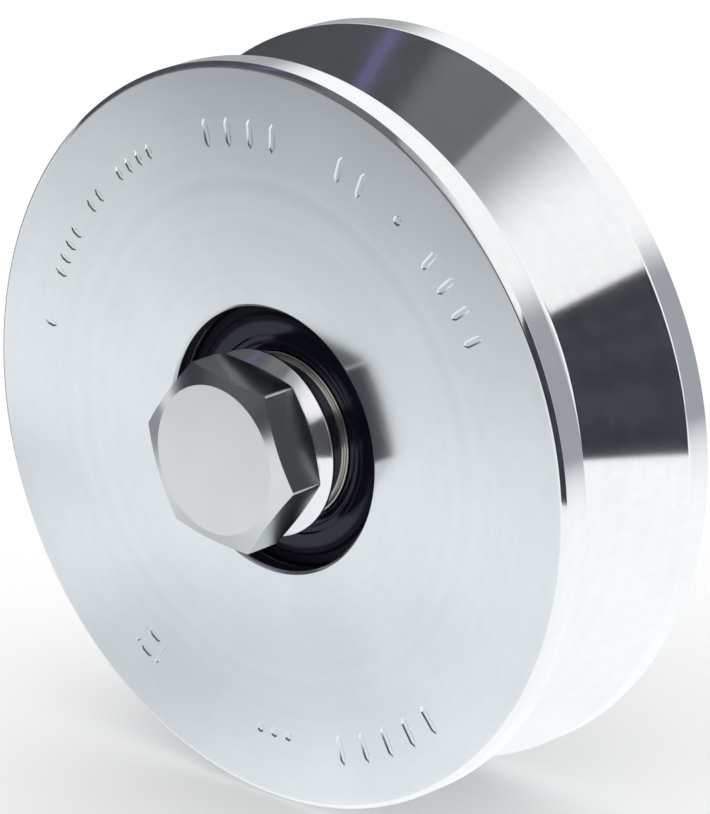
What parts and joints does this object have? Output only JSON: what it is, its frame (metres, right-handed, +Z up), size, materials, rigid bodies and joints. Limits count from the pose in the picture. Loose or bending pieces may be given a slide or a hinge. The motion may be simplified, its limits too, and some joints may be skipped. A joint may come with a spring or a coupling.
{
  "type": "gate wheel",
  "caption": "V-groove steel wheel for a sliding gate, turning on two sealed ball bearings around a hex bolt axle with spacers, split washer and thin nut.",
  "frame": {"origin": "centre of the wheel: on the axle's axis, in the middle of the groove", "axes": "+Y along the axle, from the bolt's head towards its free threaded end; +Z up, with the track below at -Z; +X the way the gate rolls"},
  "size_m": [0.08, 0.061, 0.08],
  "materials": {
    "plated_steel": "bright zinc plate over fine turning marks",
    "bolt_steel": "bright zinc plate",
    "spring_steel": "zinc plate, slightly duller",
    "bearing_steel": "ground and polished",
    "ball_steel": "mirror polished",
    "cage_steel": "pressed sheet steel",
    "seal_rubber": "moulded, glossy blue-black"
  },
  "bodies": {
    "axle": {"axle_bolt": "bolt_steel", "front_spacer": "bolt_steel", "rear_spacer": "bolt_steel", "lock_washer": "spring_steel", "clamp_nut": "bolt_steel", "front_bearing_inner_ring": "bearing_steel", "rear_bearing_inner_ring": "bearing_steel"},
    "wheel": {"wheel_body": "plated_steel", "front_bearing_outer_ring": "bearing_steel", "front_bearing_front_seal": "seal_rubber", "front_bearing_front_seal_insert": "cage_steel", "front_bearing_rear_seal": "seal_rubber", "front_bearing_rear_seal_insert": "cage_steel", "rear_bearing_outer_ring": "bearing_steel", "rear_bearing_front_seal": "seal_rubber", "rear_bearing_front_seal_insert": "cage_steel", "rear_bearing_rear_seal": "seal_rubber", "rear_bearing_rear_seal_insert": "cage_steel"},
    "front_ball_set": {"front_bearing_balls": "ball_steel", "front_bearing_cage_front": "cage_steel", "front_bearing_cage_rear": "cage_steel", "front_bearing_cage_rivets": "cage_steel"},
    "rear_ball_set": {"rear_bearing_balls": "ball_steel", "rear_bearing_cage_front": "cage_steel", "rear_bearing_cage_rear": "cage_steel", "rear_bearing_cage_rivets": "cage_steel"}
  },
  "joints": [
    {"name": "wheel_spin", "type": "hinge", "parent": "axle", "child": "wheel", "pos_m": [0, 0, 0], "axis": [0, 1, 0], "continuous": true},
    {"name": "front_cage_orbit", "type": "hinge", "parent": "axle", "child": "front_ball_set", "pos_m": [0, -0.0046, 0], "axis": [0, 1, 0], "continuous": true},
    {"name": "rear_cage_orbit", "type": "hinge", "parent": "axle", "child": "rear_ball_set", "pos_m": [0, 0.0054, 0], "axis": [0, 1, 0], "continuous": true}
  ],
  "couplings": [
    {"joint": "front_cage_orbit", "follows": "wheel_spin", "ratio": 0.6353},
    {"joint": "rear_cage_orbit", "follows": "wheel_spin", "ratio": 0.6353}
  ]
}
